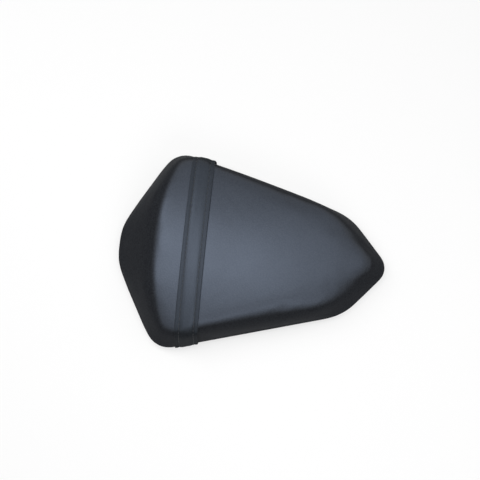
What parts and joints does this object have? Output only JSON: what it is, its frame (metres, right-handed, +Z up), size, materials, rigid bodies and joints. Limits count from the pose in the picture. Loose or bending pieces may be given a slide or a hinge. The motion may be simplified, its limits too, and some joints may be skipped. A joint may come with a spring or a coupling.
{
  "type": "motorcycle rear seat",
  "caption": "Kite-shaped motorcycle rear seat with a crowned vinyl cushion, a grab strap across its wide front, a ribbed plastic base, a latch striker and rubber bumpers.",
  "frame": {"origin": "half way along and across the seat, on the plane that the rubber bumpers stand on", "axes": "+X to the tail of the seat, +Y to its left, +Z up"},
  "size_m": [0.325, 0.2426, 0.0779],
  "materials": {
    "base_plastic": "fine moulded grain",
    "foam": "open cell",
    "cover_vinyl": "grained vinyl, low sheen",
    "strap_vinyl": "grained vinyl, stitched",
    "brass": "turned",
    "zinc_steel": "zinc plated",
    "coated_steel": "black powder coat",
    "bumper_rubber": "moulded"
  },
  "bodies": {
    "root": {"seat_base": "base_plastic", "foam_cushion": "foam", "seat_cover": "cover_vinyl", "grab_strap": "strap_vinyl", "strap_inserts": "brass", "strap_washers": "zinc_steel", "strap_bolts": "zinc_steel", "striker_bracket": "coated_steel", "striker_pin": "zinc_steel", "striker_nuts": "zinc_steel", "striker_bolts": "zinc_steel", "bumpers": "bumper_rubber"}
  },
  "joints": []
}
